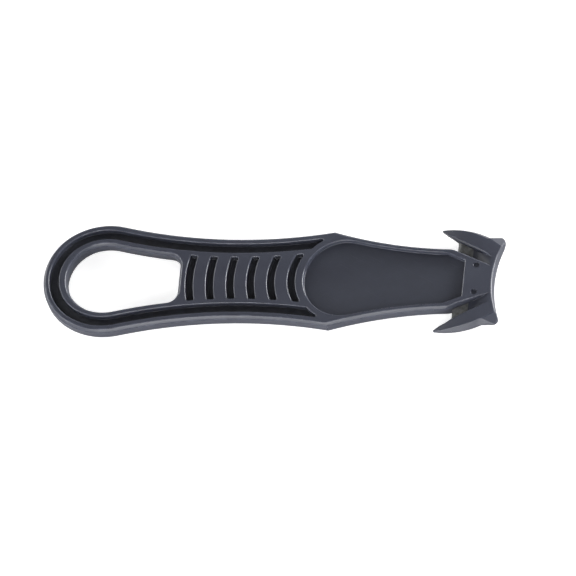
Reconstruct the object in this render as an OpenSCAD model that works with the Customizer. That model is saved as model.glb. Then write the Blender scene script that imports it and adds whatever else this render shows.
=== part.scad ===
// Box cutter with two concealed blades: a one-piece moulded handle with a finger loop at one end and
// a double hook at the other, and a small fixed steel blade across the throat of each hook.
// X runs along the handle towards the hooks, Y across it and Z through it, with the back face on Z = 0.
// The pieces are drawn about the handle's middle plane and lifted by half its thickness.

/* [Handle] */
// Overall length, from the loop's end to the front corners
length = 146; // [138:1:156]
// Thickness of the handle
thick = 5.8; // [5.4:0.1:6.4]
// Bevel along the sides, measured across
edge_in = 0.75; // [0.4:0.05:1]
// Bevel along the sides, measured down from the face
edge_drop = 1.3; // [0.8:0.1:1.6]

/* [Loop] */
// Radius of the loop's round end
loop_end_r = 18.05; // [17:0.05:19]
// How much larger the radius of the loop's sides is than that of its end
loop_side_more = 3.45; // [2.4:0.05:6]
// How far the loop's sides swell beyond the circle of its end
loop_swell = 1.03; // [0.8:0.01:1.3]
// Wall of the loop at its end
loop_end_wall = 7.25; // [6.8:0.05:9]
// Wall of the loop along its sides
loop_side_wall = 6.4; // [6:0.1:7.4]
// Length of the finger hole
hole_l = 36.75; // [32:0.05:37]
// Radius of the finger hole's two corners
hole_corner_r = 4.4; // [2:0.1:5]
// Bevel of the hole's round end, measured across
hole_end_in = 0.2; // [0.1:0.05:0.7]

/* [Waist and neck] */
// Width at the narrowest line of the waist
waist_w = 27.56; // [26.5:0.02:29]
// Distance from the loop's end to the waist
waist_from_end = 62.5; // [59:0.5:66]
// Width at the narrowest line of the neck
neck_w = 20.84; // [20:0.02:21.5]
// Distance from the front corners back to the neck's narrowest line
neck_from_front = 13.4; // [12:0.1:15]
// Radius of the hollow sides of the neck
neck_r = 145; // [130:1:165]

/* [Grip] */
// Rim outside the groove
groove_rim = 2.1; // [1.6:0.1:2.4]
// Width of the groove
groove_w = 3; // [2.4:0.1:3.2]
// Depth of the groove in each face
groove_d = 2.1; // [1.4:0.1:2.2]
// Number of rib slots
slot_count = 6; // [4:1:6]
// Distance from one rib slot to the next
slot_pitch = 6.5; // [5:0.1:6.8]
// Width of a rib slot
slot_w = 2.3; // [1.6:0.1:2.8]
// Depth of a rib slot in each face
slot_d = 2.2; // [1.4:0.1:2.3]
// Land between the ends of the rib slots and the groove
slot_land = 1.5; // [1:0.1:2.5]
// Land between the finger hole and the first rib slot
first_land = 1.6; // [1.2:0.05:3]
// Radius of the first rib slot's curve
first_slot_r = 33; // [24:1:60]
// Radius of the last rib slot's curve
last_slot_r = 15.5; // [13:0.5:24]
// Radius of the corners of the groove and the slots
pocket_r = 0.45; // [0.2:0.05:0.7]

/* [Panel] */
// Land between the last rib slot and the panel
panel_land = 2.7; // [2:0.1:4]
// Rim along the panel's sides
panel_rim = 1.7; // [1.3:0.1:2.2]
// Depth of the panel in each face
panel_d = 1.8; // [1:0.1:2]
// Distance from the front corners back to the panel's straight end
panel_from_front = 11.9; // [11:0.1:14]
// Land between the panel's round end and the groove
groove_land = 2.05; // [1.5:0.05:3.2]

/* [Head] */
// Width across the front corners
head_w = 30; // [28.6:0.1:31]
// Fall of each face of the head towards the front, in degrees
head_taper = 4; // [2:0.5:5]
// Radius of the hollow front end
front_r = 33.75; // [28:0.25:45]
// Radius of the front corners
front_corner_r = 1.7; // [1:0.1:2.4]
// Bevel of the front end, measured across
front_in = 0.35; // [0.1:0.05:0.5]
// Bevel of the front end, measured down from the face
front_drop = 0.4; // [0.3:0.1:1.2]
// Length of each sloping corner facet along the side
facet_l = 6.3; // [5:0.1:7]
// Width of each sloping corner facet along the front
facet_w = 5.3; // [4:0.1:6]
// Slope of the corner facets, in degrees
facet_slope = 31; // [20:1:31]

/* [Hooks] */
// Distance from the front corners back to the hooks' tips
hook_l = 20.35; // [18.5:0.05:21]
// Width across the two tips
hook_span = 35; // [33.5:0.1:36]
// Height of the blunt end of a tip
tip_h = 0.5; // [0.3:0.05:0.9]
// Radius of a hook's outer edge
hook_r = 25.5; // [24:0.5:30]
// Distance from the front corners back to the crest of the outer edge
crest_from_front = 16.65; // [15.5:0.05:17.5]
// Lean of the outer edges' bevels from upright, in degrees
hook_lean = 29; // [20:1:32]
// Height of the narrow land along the outer edges
hook_edge = 0.5; // [0.3:0.05:0.8]
// Radius of the crown that thins each hook towards its tip
crown_r = 52; // [50:1:70]

/* [Throats] */
// Distance from the front corners back to the blades' cutting edges
edge_from_front = 14.9; // [14:0.1:15.2]
// Distance from the front corners back to the neck's corners
throat_from_front = 15.6; // [15:0.1:16.5]
// Opening of a throat at the cutting edge
mouth_w = 4.05; // [3.6:0.05:4.6]
// Opening of a throat's shallow end
throat_end_w = 3.35; // [2.6:0.05:3.6]
// Distance from the middle line to a throat's shallow end
throat_end_y = 4.4; // [3.8:0.1:5]
// Wall between a throat's shallow end and the front end
throat_end_wall = 0.75; // [0.5:0.05:1.5]
// Bevel of the neck's edge of a throat, measured across
throat_in = 0.3; // [0.1:0.05:0.5]
// Length of the window through which a blade shows
window_l = 5.1; // [4.2:0.1:5.4]
// Length of the ramp that rises to a throat's shallow end
ramp_l = 4.4; // [3:0.1:5]
// Thickness of the web behind the window
web_t = 1.1; // [0.9:0.05:1.4]
// Diameter of the locating pits beside the throats
pit_d = 1.9; // [1.2:0.1:2.2]
// Depth of the locating pits
pit_depth = 0.5; // [0.3:0.1:1.2]
// Distance from the front corners back to the pits
pit_from_front = 8.05; // [7:0.05:9]
// Land between a pit and its throat
pit_land = 0.7; // [0.4:0.1:1.2]

/* [Blades] */
// Thickness of a blade
blade_t = 0.6; // [0.4:0.05:0.7]
// Width of the ground edge
grind_w = 0.8; // [0.4:0.1:1.2]
// Length of blade held in the head beside a throat
blade_hold = 3.2; // [2.4:0.1:3.6]
// Length of blade held in a hook
hook_hold = 1.9; // [1.2:0.1:2.2]
// Length of blade held in the web behind the window
web_hold = 1; // [0.5:0.1:1.4]
// Diameter of the hole through which the plastic keys the blade
key_d = 1.5; // [1:0.1:1.6]

/* [Hidden] */
$fn = 96;
smooth = 128;
over = 1;
plastic = [0.21, 0.22, 0.26];
steel = [0.56, 0.56, 0.54];

front_x = length / 2;
half_t = thick / 2;
side_z = half_t - edge_drop;
flare = (over + edge_drop) / edge_drop;
loop_side_r = loop_end_r + loop_side_more;
loop_c = [loop_end_r - length / 2, 0];
swell_r = loop_end_r + loop_swell;
waist_r = (pow(waist_from_end - loop_end_r, 2) + pow(waist_w / 2, 2) - pow(swell_r, 2))
    / (2 * swell_r - waist_w);
waist_c = [waist_from_end - length / 2, waist_w / 2 + waist_r];
neck_c = [front_x - neck_from_front, neck_w / 2 + neck_r];

hole_x0 = loop_end_wall - length / 2;
hole_x1 = hole_x0 + hole_l;
slot_x0 = hole_x1 + first_land;
panel_x0 = slot_x0 + (slot_count - 1) * slot_pitch + slot_w + panel_land;
panel_x1 = front_x - panel_from_front;
taper_x = panel_x1 - over;

corner_c = [front_x - front_corner_r, head_w / 2 - front_corner_r];
front_c = [corner_c.x + sqrt(pow(front_r + front_corner_r, 2) - pow(corner_c.y, 2)), 0];
throat_x0 = front_x - throat_from_front;
throat_x1 = front_c.x - front_r - throat_end_wall;
edge_x = front_x - edge_from_front;
window_x = edge_x + window_l;
tip = [front_x - hook_l, hook_span / 2];
crest_x = front_x - crest_from_front;
hook_c = [crest_x, tip.y - sqrt(pow(hook_r, 2) - pow(tip.x - crest_x, 2))];
hook_end_x = hook_c.x + sqrt(pow(hook_r, 2) - pow(head_w / 2 - hook_c.y, 2));

// Where two circles cross, on the left (1) or right (-1) of the line between their centres
function meet(c1, r1, c2, r2, side) =
    let (d = c2 - c1, l = norm(d), a = (r1 * r1 - r2 * r2 + l * l) / (2 * l))
    c1 + (a * d + side * sqrt(r1 * r1 - a * a) * [-d.y, d.x]) / l;
// Where a line through p at an angle first meets a circle
function line_meet(p, angle, c, r) =
    let (d = [cos(angle), sin(angle)], f = p - c, b = f * d)
    p + d * (-b - sqrt(b * b - f * f + r * r));
// Direction of q from p, and a direction counted from 0 to 360 degrees
function heading(p, q) = atan2(q.y - p.y, q.x - p.x);
function turn(a) = (a + 360) % 360;
// Points of an arc, and of an arc that carries on from the point before it
function arc(c, r, a0, a1, n, first = 0) =
    [for (i = [first:n]) let (a = a0 + (a1 - a0) * i / n) c + r * [cos(a), sin(a)]];
function onward(c, r, a0, a1, n) = arc(c, r, a0, a1, n, 1);
// A closed outline from its upper half, which starts and may end on the middle line
function mirrored(half) =
    concat(half, [for (i = [len(half) - 1:-1:1]) if (half[i].y > 0) [half[i].x, -half[i].y]]);

// The loop's sides swell between the round end and the hollow waist, touching both
side_c = meet(loop_c, loop_side_r - loop_end_r, waist_c, waist_r + loop_side_r, -1);
side_a1 = heading(side_c, waist_c);
function shoulder(inset) = meet(waist_c, waist_r + inset, neck_c, neck_r + inset, -1);
function loop_flank(inset) = concat(
    arc(loop_c, loop_end_r - inset, 180, heading(side_c, loop_c), 14),
    onward(side_c, loop_side_r - inset, heading(side_c, loop_c), side_a1, 12),
    onward(waist_c, waist_r + inset, side_a1 + 180, turn(heading(waist_c, shoulder(inset))), 18));

// The neck's edge of a throat, on the face, runs from the neck's corner to the shallow end
neck_face = neck_c.y - sqrt(pow(neck_r + edge_in, 2) - pow(throat_x0 - neck_c.x, 2));
throat_a = atan2(throat_end_y - neck_face, throat_x1 - throat_x0);
function throat_y(x) = neck_face + (x - throat_x0) * tan(throat_a);
mouth = [edge_x, throat_y(edge_x) + mouth_w];
hook_a = atan2(throat_end_y + throat_end_w - mouth.y, throat_x1 - mouth.x);
function hook_y(x) = mouth.y + (x - mouth.x) * tan(hook_a);
function face_z(x) = half_t - (x - taper_x) * tan(head_taper);

function body_ring(inset) =
    let (rise = throat_in * (1 - inset / edge_in) / cos(throat_a),
        neck_end = line_meet([throat_x1, throat_y(throat_x1) + rise], throat_a + 180, neck_c, neck_r + inset),
        from = turn(heading(neck_c, shoulder(inset))))
    mirrored(concat(loop_flank(inset),
        onward(neck_c, neck_r + inset, from, turn(heading(neck_c, neck_end)), 12),
        [[throat_x1, throat_y(throat_x1) + rise]]));

// The finger hole at a share of its bevel, which widens from the round end to the sides
function hole_ring(share) =
    let (inset = share * edge_in, end_inset = share * hole_end_in,
        side_r = loop_side_r - loop_side_wall, waist = waist_r + loop_side_wall, k = side_r + hole_x0,
        end_c = [(k * k - side_c * side_c) / (2 * (k - side_c.x)), 0], end_r = end_c.x - hole_x0,
        side_a0 = heading(side_c, end_c), corner_x = hole_x1 - hole_corner_r,
        reach = sqrt(pow(waist + hole_corner_r, 2) - pow(corner_x - waist_c.x, 2)),
        corner = [corner_x, waist_c.y - reach])
    mirrored(concat(
        [for (i = [0:14]) let (f = i / 14, a = 180 + (side_a0 - 180) * f)
            end_c + (end_r - end_inset - (inset - end_inset) * f) * [cos(a), sin(a)]],
        onward(side_c, side_r - inset, side_a0, side_a1, 10),
        onward(waist_c, waist + inset, side_a1 + 180, turn(heading(waist_c, corner)), 8),
        onward(corner, hole_corner_r - inset, heading(corner, waist_c), 0, 8)));

// The panel's round end touches its hollow sides, and its far corners run beside the throats
panel_side_r = neck_r + panel_rim;
panel_r = (pow(neck_c.x - panel_x0, 2) + pow(neck_c.y, 2) - pow(panel_side_r, 2))
    / (2 * (panel_side_r + neck_c.x - panel_x0));
panel_c = [panel_x0 + panel_r, 0];
panel_corner = [panel_x1, throat_y(panel_x1) - panel_rim / cos(throat_a)];
function panel_outline() =
    let (far = line_meet(panel_corner, throat_a + 180, neck_c, panel_side_r))
    mirrored(concat(
        arc(panel_c, panel_r, 180, heading(panel_c, neck_c), 24),
        onward(neck_c, panel_side_r, heading(panel_c, neck_c) + 180, turn(heading(neck_c, far)), 12),
        [panel_corner]));

// The head's outline before its outer edges and its hollow front are shaped: web behind the window,
// throat, tip and front corner
function head_outline() =
    mirrored(concat(
        [[window_x, 0], [window_x, hook_y(window_x)], mouth, tip - [0, tip_h]],
        [[tip.x, tip.y + over], [hook_end_x, tip.y + over], [hook_end_x, head_w / 2]],
        arc(corner_c, front_corner_r, 90, heading(corner_c, front_c) / 2, 9),
        [[front_x, 0]]));

// Radius of a rib slot, whose curve tightens from the first slot to the last
function rib_r(i) =
    1 / (1 / first_slot_r + (1 / last_slot_r - 1 / first_slot_r) * pow(i / (slot_count - 1), 2));

blade_x1 = window_x + web_hold;
function blade_outline() = [
    [edge_x, throat_y(edge_x) - blade_hold],
    [edge_x, mouth.y + hook_hold],
    [blade_x1, hook_y(blade_x1) + hook_hold],
    [blade_x1, throat_y(blade_x1) - blade_hold]];

module both_sides() {
    children();
    mirror([0, 1, 0]) children();
}

module both_faces() {
    children();
    mirror([0, 0, 1]) children();
}

// A solid drawn through rings of equally many points, each at its own height
module loft(rings, heights) {
    n = len(rings[0]);
    top = len(rings) - 1;
    points = [for (k = [0:top]) for (p = rings[k]) [p.x, p.y, heights[k]]];
    sides = [for (k = [0:top - 1]) for (j = [0:n - 1])
        let (a = k * n + j, b = k * n + (j + 1) % n)
        for (t = [[a, b, b + n], [a, b + n, a + n]]) t];
    polyhedron(points, concat(sides,
        [[for (j = [n - 1:-1:0]) j]],
        [[for (j = [0:n - 1]) top * n + j]]));
}

module rounded(r) {
    offset(r = r, $fn = 20) offset(delta = -r) children();
}

module grip_area(inset) {
    polygon(mirrored(concat(loop_flank(inset), [[shoulder(inset).x, 0]])));
}

// Handle from the loop to the throats, with bevelled sides
module body() {
    wide = body_ring(0);
    narrow = body_ring(edge_in * flare);
    intersection() {
        loft([narrow, wide, wide, narrow], [-half_t - over, -side_z, side_z, half_t + over]);
        translate([-length, -length, -half_t]) cube([2 * length, 2 * length, thick]);
    }
}

module finger_hole() {
    wide = hole_ring(1 - flare);
    narrow = hole_ring(1);
    loft([wide, narrow, narrow, wide], [-half_t - over, -side_z, side_z, half_t + over]);
}

module pocket(depth) {
    both_faces() translate([0, 0, half_t - depth]) linear_extrude(depth + over) children();
}

module grip_groove() {
    pocket(groove_d) rounded(pocket_r) difference() {
        grip_area(groove_rim);
        grip_area(groove_rim + groove_w);
        translate(panel_c) circle(panel_r + groove_land, $fn = smooth);
        translate([panel_c.x, -head_w]) square(2 * head_w);
    }
}

module rib_slots() {
    pocket(slot_d) for (i = [0:slot_count - 1]) rounded(pocket_r) intersection() {
        grip_area(groove_rim + groove_w + slot_land);
        translate([slot_x0 + i * slot_pitch + rib_r(i), 0]) difference() {
            circle(rib_r(i), $fn = smooth);
            translate([slot_w, 0]) circle(rib_r(i), $fn = smooth);
        }
    }
}

// Envelope of the head: its outer edges are bevelled from both faces to a narrow land
module head_envelope() {
    land = hook_edge / 2;
    fall = (thick - land) * tan(hook_lean);
    intersection_for (s = [-1, 1]) translate([hook_c.x, s * hook_c.y]) rotate_extrude() polygon([
        [0, -thick], [hook_r - fall, -thick], [hook_r, -land], [hook_r, land], [hook_r - fall, thick],
        [0, thick]]);
    side = head_w / 2;
    translate([tip.x, 0, 0]) rotate([90, 0, 90]) linear_extrude(2 * hook_l) polygon([
        [fall - side, -thick], [side - fall, -thick], [side, -land], [side, land], [side - fall, thick],
        [fall - side, thick], [-side, land], [-side, -land]]);
}

// What the crown takes off the face of a hook, thinning it towards its tip
module hook_crown() {
    crown_x = hook_end_x - over;
    mid_y = throat_y(edge_x) + mouth_w / 2;
    difference() {
        linear_extrude(thick) polygon([
            [tip.x - over, mid_y], [edge_x, mid_y], [crown_x, (throat_y(crown_x) + hook_y(crown_x)) / 2],
            [crown_x, hook_span], [tip.x - over, hook_span]]);
        translate([crown_x, 0, face_z(crown_x) - crown_r]) rotate([-90, 0, 0])
            cylinder(hook_span, r = crown_r);
    }
}

// What the sloping facet takes off a front corner
module corner_facet() {
    at = [front_x - facet_l, head_w / 2, face_z(front_x - facet_l)];
    translate(at) rotate([0, 0, -atan2(facet_w, facet_l)]) rotate([-facet_slope, 0, 0])
        translate([-head_w, -head_w, 0]) cube(2 * head_w);
}

// What is cut away to hollow the front end and bevel its edges
module front_hollow() {
    low = face_z(front_c.x - front_r) - front_drop;
    flared = front_r + front_in / front_drop * (thick - low);
    translate(front_c) rotate_extrude() polygon([
        [0, -thick], [flared, -thick], [front_r, -low], [front_r, low], [flared, thick], [0, thick]]);
}

// The blind end of a throat: a level floor behind the window, then a ramp up to the face and past it
module throat_end() {
    start = window_x - over;
    ramp_x0 = throat_x1 - ramp_l;
    rise = face_z(throat_x1) - web_t / 2;
    intersection() {
        linear_extrude(thick) polygon([
            [start, throat_y(start) - over], [start, throat_y(start)], [window_x, hook_y(window_x)],
            [front_x, hook_y(front_x)], [front_x, throat_y(front_x) - over]]);
        rotate([90, 0, 0]) linear_extrude(hook_span, center = true) polygon([
            [start, web_t / 2], [ramp_x0, web_t / 2], [ramp_x0 + 2 * ramp_l, web_t / 2 + 2 * rise],
            [start, web_t / 2 + 2 * rise]]);
    }
}

module head() {
    difference() {
        intersection() {
            translate([0, 0, -thick]) linear_extrude(2 * thick) polygon(head_outline());
            head_envelope();
        }
        front_hollow();
        both_faces() both_sides() {
            hook_crown();
            corner_facet();
            throat_end();
        }
    }
}

module pits() {
    x = front_x - pit_from_front;
    y = throat_y(x) - (pit_land + pit_d / 2) / cos(throat_a);
    both_faces() both_sides() translate([x, y, face_z(x) - pit_depth]) cylinder(thick, d = pit_d);
}

// What the tapering faces take off the head
module head_falls() {
    both_faces() translate([taper_x, 0, half_t]) rotate([0, head_taper, 0])
        translate([0, -hook_span, 0]) cube([2 * hook_span, 2 * hook_span, thick]);
}

module handle() {
    color(plastic) translate([0, 0, half_t]) difference() {
        union() {
            body();
            head();
        }
        head_falls();
        finger_hole();
        grip_groove();
        rib_slots();
        pocket(panel_d) polygon(panel_outline());
        pits();
        both_sides() blade();
    }
}

// A flat blade with a ground edge and a hole that the plastic fills
module blade() {
    grind = atan2(blade_t / 2, grind_w);
    key_x = (edge_x + grind_w + blade_x1) / 2;
    difference() {
        linear_extrude(blade_t, center = true) polygon(blade_outline());
        both_faces() translate([edge_x, 0, 0]) rotate([0, -grind, 0]) translate([-over, 0, 0])
            cube([over + 2 * grind_w, hook_span, blade_t]);
        translate([key_x, throat_y(key_x) - blade_hold / 2, -blade_t]) cylinder(2 * blade_t, d = key_d);
    }
}

module upper_blade() {
    color(steel) translate([0, 0, half_t]) blade();
}

module lower_blade() {
    color(steel) translate([0, 0, half_t]) mirror([0, 1, 0]) blade();
}

handle();
upper_blade();
lower_blade();
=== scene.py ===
# Box cutter: moulded handle with rounded edges, two ground blades, and a white studio sweep
import math

import bmesh
import bpy
from mathutils import Matrix, Vector


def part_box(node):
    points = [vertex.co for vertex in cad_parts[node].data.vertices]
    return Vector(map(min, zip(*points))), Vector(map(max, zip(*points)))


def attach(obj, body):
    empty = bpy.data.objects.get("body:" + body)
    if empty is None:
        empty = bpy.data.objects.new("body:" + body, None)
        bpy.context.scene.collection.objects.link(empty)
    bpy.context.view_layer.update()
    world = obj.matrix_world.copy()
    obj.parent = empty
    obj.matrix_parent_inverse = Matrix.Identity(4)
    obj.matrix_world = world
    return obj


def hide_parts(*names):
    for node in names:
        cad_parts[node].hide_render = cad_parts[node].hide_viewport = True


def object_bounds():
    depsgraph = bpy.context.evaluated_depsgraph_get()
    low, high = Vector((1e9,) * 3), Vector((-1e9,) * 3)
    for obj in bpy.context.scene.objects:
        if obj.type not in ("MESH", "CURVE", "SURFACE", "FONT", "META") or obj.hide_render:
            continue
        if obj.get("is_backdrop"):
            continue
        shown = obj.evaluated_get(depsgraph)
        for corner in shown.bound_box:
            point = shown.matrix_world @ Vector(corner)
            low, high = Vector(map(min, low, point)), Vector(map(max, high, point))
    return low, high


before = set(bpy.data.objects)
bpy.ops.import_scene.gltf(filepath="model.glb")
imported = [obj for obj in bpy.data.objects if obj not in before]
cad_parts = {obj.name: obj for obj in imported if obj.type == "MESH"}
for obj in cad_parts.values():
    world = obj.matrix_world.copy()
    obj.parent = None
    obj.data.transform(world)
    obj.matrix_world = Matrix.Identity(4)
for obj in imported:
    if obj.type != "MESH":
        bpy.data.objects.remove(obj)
cad_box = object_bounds()
scene = bpy.context.scene
MM = 0.001
BLADES = ("upper_blade", "lower_blade")

# Cleaning of the solid's mesh: gaps to weld, in millimetres, and angles between neighbouring faces
FINE_WELD = 0.001
WELD = 0.03
FLAT = math.radians(0.5)
FOLDED = math.radians(175)
SHARP = math.radians(25)

# Inner edges of the hooks, in millimetres: X and distance from the middle line of the points they pass
HOOK_INNER = [Vector(point) for point in ((54.45, 15.82), (58.1, 13.43), (66.91, 9.1))]

# Their bevel: its width, how near to those points an edge has to run, and the widths it takes to run out
HOOK_BEVEL = 0.6
BESIDE = 0.25
RUN_OUT = 1.1

# Rounding of the edges, in millimetres
CONVEX_ROUND = 0.4
CONCAVE_ROUND = 0.2
PIT_ROUND = 0.08
PANEL_END_ROUND = 0.55
WIDEST_ROUND = 0.6
ROUND_STEPS = 3

# Shares of the faces beside an edge and of the edges at its ends that its rounding may take
LAND_SHARE = 0.4
END_SHARE = 0.6

# Largest turn at which an edge still runs on from another
CORNER = math.radians(35)

# Shading of the rounded mesh: weight of large faces in its normals, and the slots of its faces
NORMAL_WEIGHT = 80
FLAT_SLOT = 0
ROUND_SLOT = 1

# Places on the handle, in millimetres: from and to X, and how far to either side of the middle line
PITS = (63.5, 66.5, 5.8)
PANEL_END = (60.9, 61.3, 6.4)
RIB_SLOTS = (-29, 16, 9.6)

# Margin round a blade's box in which the plastic closes on the steel, in millimetres
BLADE_SKIN = Vector((0.02, 0.02, 0.3))

# Where shade is painted into the plastic's colour, in millimetres: on floors behind the grip's end, and
# below the lips of the rib slots
GROOVE_DEPTH = 2.0
PANEL_DEPTH = 1.5
# Share of the painted shade that the panel's floor takes
PANEL_PAINTED_SHADE = 0.25
FLOOR_TILT = 0.9
GRIP_END = 45
LIP_DEPTH = 0.35


def blade_zones():
    """The boxes of the two blades, in which the plastic closes round the steel and keeps its edges."""
    for node in BLADES:
        low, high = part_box(node)
        yield low - BLADE_SKIN * MM, high + BLADE_SKIN * MM


ZONES = list(blade_zones())


def in_zone(co):
    """Whether a point lies in the box of a blade."""
    return any(all(low[i] <= co[i] <= high[i] for i in range(3)) for low, high in ZONES)


def inside(co, from_x, to_x, side_y):
    """Whether a point lies in a place on the handle, at any height."""
    return from_x < co.x / MM < to_x and abs(co.y / MM) < side_y


def beside(co, start, end):
    """Whether a point lies along the stretch between two points, on either side of the middle line."""
    at = Vector((co.x, abs(co.y))) / MM - start
    way = end - start
    share = at.dot(way) / way.length_squared
    return -BESIDE < share * way.length < way.length + BESIDE and (at - share * way).length < BESIDE


def fold(edge):
    """The angle between the faces of an edge, above zero where it is convex."""
    return edge.calc_face_angle_signed(0.0)


def sharp(edge):
    """Whether an edge is to be rounded, which leaves out the edges that close on a blade."""
    return abs(fold(edge)) > SHARP and not all(in_zone(v.co) for v in edge.verts)


def within(edge, place):
    """Whether both ends of an edge lie in a place on the handle."""
    return all(inside(v.co, *place) for v in edge.verts)


def reach(face, edge):
    """How far a face goes from one of its edges, in millimetres."""
    start = edge.verts[0].co
    along = (edge.verts[1].co - start).normalized()
    ways = [v.co - start for v in face.verts]
    return max((w - w.dot(along) * along).length for w in ways) / MM


def arms(edge):
    """The edges that meet an edge at its ends, with how much they turn away from running straight on."""
    for v in edge.verts:
        way = v.co - edge.other_vert(v).co
        for other in v.link_edges:
            if other != edge:
                yield other, way.angle(other.other_vert(v).co - v.co)


def clean_mesh(node):
    """A copy of a CAD node's mesh to work on, with its flat facets joined."""
    bm = bmesh.new()
    bm.from_mesh(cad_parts[node].data)
    for gap in (FINE_WELD, WELD):
        bmesh.ops.remove_doubles(bm, verts=bm.verts, dist=gap * MM)
        bmesh.ops.dissolve_limit(bm, angle_limit=FLAT, verts=bm.verts, edges=bm.edges)
    folds = [e for e in bm.edges if abs(fold(e)) > FOLDED]
    bmesh.ops.dissolve_edges(bm, edges=folds, use_verts=False)
    return bm


def bevel_hooks(bm):
    """Bevels the inner edges of the hooks, running out to nothing at both ends."""
    stretches = list(zip(HOOK_INNER, HOOK_INNER[1:]))
    edges = [e for e in bm.edges if sharp(e) and fold(e) > 0
             and any(all(beside(v.co, *ends) for v in e.verts) for ends in stretches)]
    chosen = set(edges)
    ends = [v.co.copy() for e in edges for v in e.verts if len(chosen.intersection(v.link_edges)) == 1]
    made = bmesh.ops.bevel(bm, geom=edges, offset=HOOK_BEVEL * MM, offset_type="OFFSET", segments=1,
                           profile=0.5, affect="EDGES", loop_slide=True)
    for v in made["verts"]:
        for end in ends:
            if (v.co - end).length < RUN_OUT * HOOK_BEVEL * MM:
                v.co = end
    bmesh.ops.remove_doubles(bm, verts=bm.verts, dist=FINE_WELD * MM)


def edge_round(edge):
    """The largest rounding that an edge has room for, in millimetres."""
    convex = fold(edge) > 0
    radius = CONVEX_ROUND if convex else CONCAVE_ROUND
    if within(edge, PITS):
        radius = PIT_ROUND
    elif convex and within(edge, PANEL_END):
        radius = PANEL_END_ROUND
    lands = [LAND_SHARE * reach(f, edge) for f in edge.link_faces]
    ends = [END_SHARE * e.calc_length() / MM for e, turn in arms(edge) if turn > CORNER and sharp(e)]
    return min([radius] + lands + ends)


def edge_rounds(bm):
    """Rounding of each sharp edge: edges that run on from one another share the least of theirs."""
    rounds = {e: edge_round(e) for e in bm.edges if sharp(e)}
    left = set(rounds)
    while left:
        chain = set()
        ahead = {left.pop()}
        while ahead:
            edge = ahead.pop()
            chain.add(edge)
            ahead |= {e for e, turn in arms(edge) if turn <= CORNER and e in rounds and e not in chain}
        least = min(rounds[e] for e in chain)
        rounds.update((e, least) for e in chain)
        left -= chain
    return rounds


def weigh_edges(bm):
    """Gives each edge the weight of its rounding, and smooth shading where it isn't left sharp."""
    weight = bm.edges.layers.float.new("bevel_weight_edge")
    rounds = edge_rounds(bm)
    for e in bm.edges:
        e[weight] = rounds.get(e, 0.0) / WIDEST_ROUND
        e.smooth = e in rounds or abs(fold(e)) < SHARP
    for f in bm.faces:
        f.smooth = True
        f.material_index = FLAT_SLOT


def rounded_mesh(bm, name):
    """The mesh with its weighted edges rounded, in which the roundings have a slot of their own."""
    mesh = bpy.data.meshes.new(name)
    bm.to_mesh(mesh)
    bm.free()
    for _ in (FLAT_SLOT, ROUND_SLOT):
        mesh.materials.append(None)
    rough = bpy.data.objects.new(name + "_sharp", mesh)
    scene.collection.objects.link(rough)
    bevel = rough.modifiers.new("rounding", "BEVEL")
    bevel.limit_method = "WEIGHT"
    bevel.width = WIDEST_ROUND * MM
    bevel.segments = ROUND_STEPS
    bevel.use_clamp_overlap = False
    bevel.loop_slide = False
    bevel.material = ROUND_SLOT
    normals = rough.modifiers.new("normals", "WEIGHTED_NORMAL")
    normals.weight = NORMAL_WEIGHT
    normals.keep_sharp = True
    bpy.context.view_layer.update()
    graph = bpy.context.evaluated_depsgraph_get()
    done = bpy.data.meshes.new_from_object(rough.evaluated_get(graph))
    bpy.data.objects.remove(rough)
    bpy.data.meshes.remove(mesh)
    return done


def depth(co):
    """How far a point lies in from the nearer of the handle's two faces, in millimetres."""
    return min(co.z - cad_box[0].z, cad_box[1].z - co.z) / MM


def painted_shade_on(polygon, depths):
    """How much painted shade a face takes: all of it on a groove's floor or in a rib slot, a little on the
    panel.
    """
    deepest = max(depths[v] for v in polygon.vertices)
    flat = abs(polygon.normal.z) > FLOOR_TILT and polygon.center.x / MM < GRIP_END
    if deepest > GROOVE_DEPTH and (flat or inside(polygon.center, *RIB_SLOTS)):
        return 1.0
    return PANEL_PAINTED_SHADE if flat and deepest > PANEL_DEPTH else 0.0


def mark_points(mesh):
    """Marks the points inside the roundings, which hands rub, and deep in the grip, where shade is painted
    into the colour.
    """
    depths = [depth(v.co) for v in mesh.vertices]
    edge = [1.0] * len(depths)
    deep = [0.0] * len(depths)
    for polygon in mesh.polygons:
        if polygon.material_index == FLAT_SLOT:
            for v in polygon.vertices:
                edge[v] = 0.0
        # Share of painted shade, darker colour where shade falls in the grooves, slots and panel
        amount = painted_shade_on(polygon, depths)
        for v in polygon.vertices:
            if depths[v] > LIP_DEPTH:
                deep[v] = max(deep[v], amount)
        polygon.material_index = FLAT_SLOT
    for name, values in (("edge", edge), ("deep", deep)):
        mesh.attributes.new(name, "FLOAT", "POINT").data.foreach_set("value", values)


def moulded(node, name):
    """A copy of a CAD node with its hooks bevelled and its edges rounded, to stand in for the node."""
    bm = clean_mesh(node)
    bevel_hooks(bm)
    weigh_edges(bm)
    mesh = rounded_mesh(bm, name)
    mark_points(mesh)
    piece = bpy.data.objects.new(name, mesh)
    scene.collection.objects.link(piece)
    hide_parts(node)
    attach(piece, "root")
    return piece


handle = moulded("handle", "moulded_handle")

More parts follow.
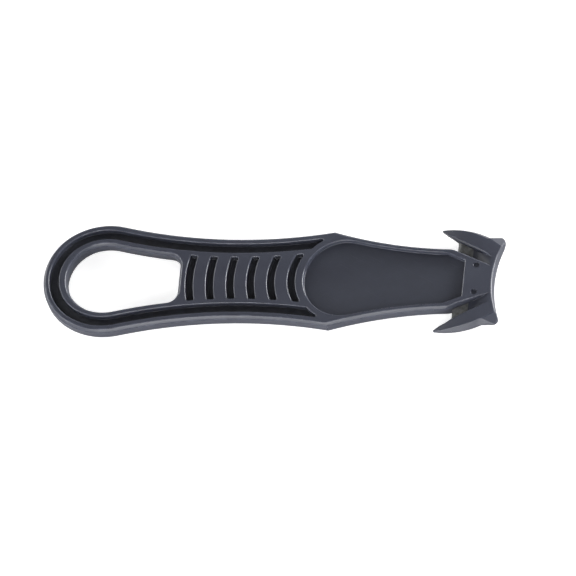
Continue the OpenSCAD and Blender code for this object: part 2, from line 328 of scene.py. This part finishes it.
# Camera at the photograph's angle, whose long lens shows no perspective
VIEW = Vector((0.209, -0.423, 0.882)).normalized()
RIGHT = Vector((0.9779, 0.0904, -0.1884)).normalized()
UP = VIEW.cross(RIGHT).normalized()
PIXELS = 576
PIXELS_PER_MM = 3.2025
PIXEL = MM / PIXELS_PER_MM
OBJECT_AT = (273.05, 281.6)
camera_data = bpy.data.cameras.new("camera")
camera_data.type = "ORTHO"
camera_data.ortho_scale = PIXELS * PIXEL
camera = bpy.data.objects.new("camera", camera_data)
scene.collection.objects.link(camera)
centre = (cad_box[0] + cad_box[1]) / 2
aim = centre + (PIXELS / 2 - OBJECT_AT[0]) * PIXEL * RIGHT - (PIXELS / 2 - OBJECT_AT[1]) * PIXEL * UP
camera.location = aim + VIEW
camera.rotation_mode = "QUATERNION"
camera.rotation_quaternion = Matrix((RIGHT, UP, VIEW)).transposed().to_quaternion()
scene.camera = camera


def srgb(r, g, b):
    """Linear colour of an 8-bit display colour."""
    def one(c):
        c = c / 255
        return c / 12.92 if c <= 0.04045 else ((c + 0.055) / 1.055) ** 2.4
    return (one(r), one(g), one(b), 1)


class Nodes:
    """A material's node tree, with short ways to add and join nodes."""

    # Sockets of the Mix node that hold colours
    MIX_A = 6
    MIX_B = 7
    MIX_RESULT = 2

    def __init__(self, name):
        self.material = bpy.data.materials.new(name)
        self.material.use_nodes = True
        self.tree = self.material.node_tree
        self.shader = self.tree.nodes["Principled BSDF"]
        self.place = self.tree.nodes.new("ShaderNodeTexCoord").outputs["Object"]

    def add(self, kind, out=0, values=(), links=(), **settings):
        """Adds a node with its settings, constants and links, and gives one of its outputs."""
        node = self.tree.nodes.new("ShaderNode" + kind)
        for name, value in settings.items():
            setattr(node, name, value)
        for name, value in dict(values).items():
            node.inputs[name].default_value = value
        for name, socket in dict(links).items():
            self.tree.links.new(socket, node.inputs[name])
        return node.outputs[out]

    def fix(self, name, value):
        """Sets an input of the shader to a constant."""
        self.shader.inputs[name].default_value = value

    def join(self, socket, name):
        """Links an output to an input of the shader."""
        self.tree.links.new(socket, self.shader.inputs[name])

    def mark(self, name):
        """The value that the mesh's points carry under a name."""
        return self.add("Attribute", out="Fac", attribute_name=name)

    def noise(self, scale, detail, stretch=1.0, turn=0.0):
        """Noise with scale features to the metre, stretched along a line in the plane of the faces."""
        at = self.place
        if stretch != 1:
            values = {"Scale": (stretch, 1, 1), "Rotation": (0, 0, turn)}
            at = self.add("Mapping", values=values, links={"Vector": at}, vector_type="TEXTURE")
        return self.add("TexNoise", values={"Scale": scale, "Detail": detail}, links={"Vector": at})

    def ramp(self, socket, low, high, to_low=0.0, to_high=1.0):
        """Carries the values from low to high over to another range, and holds them there."""
        return self.add("MapRange", values={1: low, 2: high, 3: to_low, 4: to_high}, links={0: socket})

    def math(self, operation, a, b):
        """One operation on two terms, each an output or a number."""
        links = {i: x for i, x in enumerate((a, b)) if not isinstance(x, (int, float))}
        values = {i: x for i, x in enumerate((a, b)) if isinstance(x, (int, float))}
        return self.add("Math", values=values, links=links, operation=operation)

    def times(self, a, b):
        return self.math("MULTIPLY", a, b)

    def plus(self, a, b):
        return self.math("ADD", a, b)

    def mix(self, factor, a, b):
        """A blend of two terms, each an output or a colour."""
        values = {i: x for i, x in ((self.MIX_A, a), (self.MIX_B, b)) if isinstance(x, tuple)}
        links = {i: x for i, x in ((self.MIX_A, a), (self.MIX_B, b)) if not isinstance(x, tuple)}
        links[0] = factor
        return self.add("Mix", out=self.MIX_RESULT, values=values, links=links, data_type="RGBA")

    def bump(self, height, distance, strength, under=None):
        """Relief from a height, on top of another relief if one is given."""
        links = {"Height": height}
        if under:
            links["Normal"] = under
        return self.add("Bump", values={"Distance": distance, "Strength": strength}, links=links)


# Middle part of a noise, which a ramp spreads over its whole range
MIDDLE = (0.3, 0.7)
WHITE = (1, 1, 1, 1)

# Plastic: colours, ranges of roughness, and how strongly each mark shows
SLATE_DARK = srgb(52, 54, 65)
SLATE_LIGHT = srgb(57, 60, 71)
# Painted shade: the dark colour laid on the floors of grooves, rib slots and panel, where shade falls
PAINTED_SHADE = srgb(30, 31, 36)
RUBBED = srgb(82, 85, 96)
SCRATCHED = srgb(96, 99, 108)
RUB_PATCHES = (0.42, 0.62)
HAIRLINES = (0.68, 0.76)
PAINTED_SHADE_COVER = (0.55, 0.75)
RUB_SHOWS = 0.6
HAIR_SHOWS = 0.12
SATIN = (0.36, 0.45)
SPECKLE = (-0.03, 0.03)
# How much rougher the painted shade is
PAINTED_SHADE_DULLS = 0.3
EDGE_POLISH = 0.15
RUB_POLISH = 0.05
GRAIN_HEIGHT = 0.02 * MM
GRAIN_RELIEF = 0.25
HAIR_HEIGHT = 0.01 * MM
HAIR_RELIEF = 0.15

# Steel: colours, ranges of roughness, and relief of the ground lines
STEEL = srgb(140, 141, 141)
STAINED = srgb(112, 112, 111)
STAIN_PATCHES = (0.35, 0.7)
GROUND = (0.6, 0.72)
STAIN_DULLS = (0, 0.08)
LINE_HEIGHT = 0.01 * MM
LINE_RELIEF = 0.15


def plastic_material():
    """Satin slate plastic: moulded grain, faint flow marks, rubbed edges, hairline scratches, and shade
    painted darker into its deep floors.
    """
    look = Nodes("slate_plastic")
    flow = look.noise(scale=90, detail=4, stretch=3)
    grain = look.noise(scale=5200, detail=3)
    rub = look.ramp(look.noise(scale=420, detail=5), *RUB_PATCHES)
    edge = look.mark("edge")
    worn = look.times(edge, rub)
    hair_1 = look.ramp(look.noise(scale=5000, detail=1, stretch=30, turn=0.35), *HAIRLINES)
    hair_2 = look.ramp(look.noise(scale=4400, detail=1, stretch=40, turn=-0.5), *HAIRLINES)
    hair = look.math("MAXIMUM", hair_1, hair_2)
    # Painted shade in the grooves, rib slots and panel, laid on in patches
    shade_paint = look.times(look.mark("deep"), look.ramp(rub, 0, 1, *PAINTED_SHADE_COVER))

    body = look.mix(look.ramp(flow, *MIDDLE), SLATE_DARK, SLATE_LIGHT)
    # Base colour darkened with the painted shade
    shade_painted = look.mix(shade_paint, body, PAINTED_SHADE)
    rubbed = look.mix(look.times(worn, RUB_SHOWS), shade_painted, RUBBED)
    look.join(look.mix(look.times(hair, HAIR_SHOWS), rubbed, SCRATCHED), "Base Color")

    speckled = look.plus(look.ramp(flow, *MIDDLE, *SATIN), look.ramp(grain, *MIDDLE, *SPECKLE))
    # The painted shade is also made rougher
    dull = look.plus(speckled, look.times(shade_paint, PAINTED_SHADE_DULLS))
    polish = look.plus(look.times(edge, EDGE_POLISH), look.times(worn, RUB_POLISH))
    look.join(look.math("SUBTRACT", dull, polish), "Roughness")

    relief = look.bump(grain, GRAIN_HEIGHT, GRAIN_RELIEF)
    look.join(look.bump(hair, HAIR_HEIGHT, HAIR_RELIEF, relief), "Normal")
    return look.material


def steel_material():
    """Matt ground blade steel with lines across the edge and faint oil staining."""
    look = Nodes("ground_steel")
    lines = look.noise(scale=9000, detail=2, stretch=50)
    stain = look.noise(scale=700, detail=4)
    look.join(look.mix(look.ramp(stain, *STAIN_PATCHES), STEEL, STAINED), "Base Color")
    look.fix("Metallic", 1.0)
    matt = look.plus(look.ramp(lines, *MIDDLE, *GROUND), look.ramp(stain, *MIDDLE, *STAIN_DULLS))
    look.join(matt, "Roughness")
    look.join(look.bump(lines, LINE_HEIGHT, LINE_RELIEF), "Normal")
    return look.material


plastic = plastic_material()
steel = steel_material()
dressed = [(handle, plastic)] + [(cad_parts[node], steel) for node in BLADES]
for piece, material in dressed:
    piece.data.materials.clear()
    piece.data.materials.append(material)

# Floor that shows white to the eye, glows a little in reflections, and keeps the shadow
FLOOR_SIZE = 6
FLOOR_GREY = (0.8, 0.8, 0.8, 1)
FLOOR_ROUGHNESS = 0.9
EYE_GLOW = 0.68
MIRROR_GLOW = 0.1


def floor_material():
    """Matt pale grey that glows only for the eye and for reflections."""
    look = Nodes("floor")
    look.fix("Base Color", FLOOR_GREY)
    look.fix("Roughness", FLOOR_ROUGHNESS)
    look.fix("Specular IOR Level", 0)
    look.fix("Emission Color", WHITE)
    rays = look.tree.nodes.new("ShaderNodeLightPath").outputs
    mirrored = look.math("MAXIMUM", rays["Is Glossy Ray"], rays["Is Transmission Ray"])
    seen = look.times(rays["Is Camera Ray"], EYE_GLOW)
    look.join(look.plus(seen, look.times(mirrored, MIRROR_GLOW)), "Emission Strength")
    return look.material


half = FLOOR_SIZE / 2
corners = [(-half, -half, 0), (half, -half, 0), (half, half, 0), (-half, half, 0)]
floor_mesh = bpy.data.meshes.new("floor")
floor_mesh.from_pydata(corners, [], [(0, 1, 2, 3)])
floor_mesh.materials.append(floor_material())
floor = bpy.data.objects.new("floor", floor_mesh)
scene.collection.objects.link(floor)
floor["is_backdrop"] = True

# Surroundings that are bright along the horizon and dim overhead
HORIZON = 1.0
OVERHEAD = 0.06
DIM_FROM = 0.55
world = bpy.data.worlds.new("studio")
scene.world = world
world.use_nodes = True
sky = world.node_tree
split = sky.nodes.new("ShaderNodeSeparateXYZ")
sky.links.new(sky.nodes.new("ShaderNodeTexCoord").outputs["Generated"], split.inputs[0])
fade = sky.nodes.new("ShaderNodeMapRange")
for i, value in enumerate((0.0, DIM_FROM, HORIZON, OVERHEAD), 1):
    fade.inputs[i].default_value = value
sky.links.new(split.outputs["Z"], fade.inputs[0])
sky.links.new(fade.outputs[0], sky.nodes["Background"].inputs["Strength"])
sky.nodes["Background"].inputs["Color"].default_value = WHITE

# Softboxes round the table: turn from +X and height in degrees, width and height in metres, radiance
BOX_AWAY = 1.2
SOFTBOXES = {
    "key": (34, 9, 0.9, 0.36, 24),
    "key_high": (25, 22, 0.5, 0.25, 12),
    "left": (178, 9, 0.6, 0.36, 6),
    "left_strip": (152, 22, 0.3, 0.9, 5),
    "left_front": (213, 15, 0.6, 0.5, 6),
    "front": (268, 9, 1.1, 0.36, 9.5),
    "front_high": (270, 36, 0.65, 0.5, 3.5),
    "right_high": (315, 36, 0.65, 0.5, 2.4),
    "back_left": (140, 38, 0.6, 0.5, 0.5),
    "back": (78, 14, 0.35, 0.3, 4),
    "top": (75, 64, 0.5, 0.5, 0.5),
}


def softbox(name, turn, up, width, height, radiance):
    """A rectangular lamp that faces the object."""
    lamp = bpy.data.lights.new(name, "AREA")
    lamp.shape = "RECTANGLE"
    lamp.size = width
    lamp.size_y = height
    lamp.energy = radiance * math.pi * width * height
    box = bpy.data.objects.new(name, lamp)
    scene.collection.objects.link(box)
    turn, up = math.radians(turn), math.radians(up)
    way = Vector((math.cos(turn) * math.cos(up), math.sin(turn) * math.cos(up), math.sin(up)))
    box.location = way * BOX_AWAY
    box.rotation_mode = "QUATERNION"
    box.rotation_quaternion = way.to_track_quat("Z", "Y")


for name, box in SOFTBOXES.items():
    softbox(name, *box)

scene.view_settings.view_transform = "Standard"

[[list(v) for v in box] for box in (cad_box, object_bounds())]
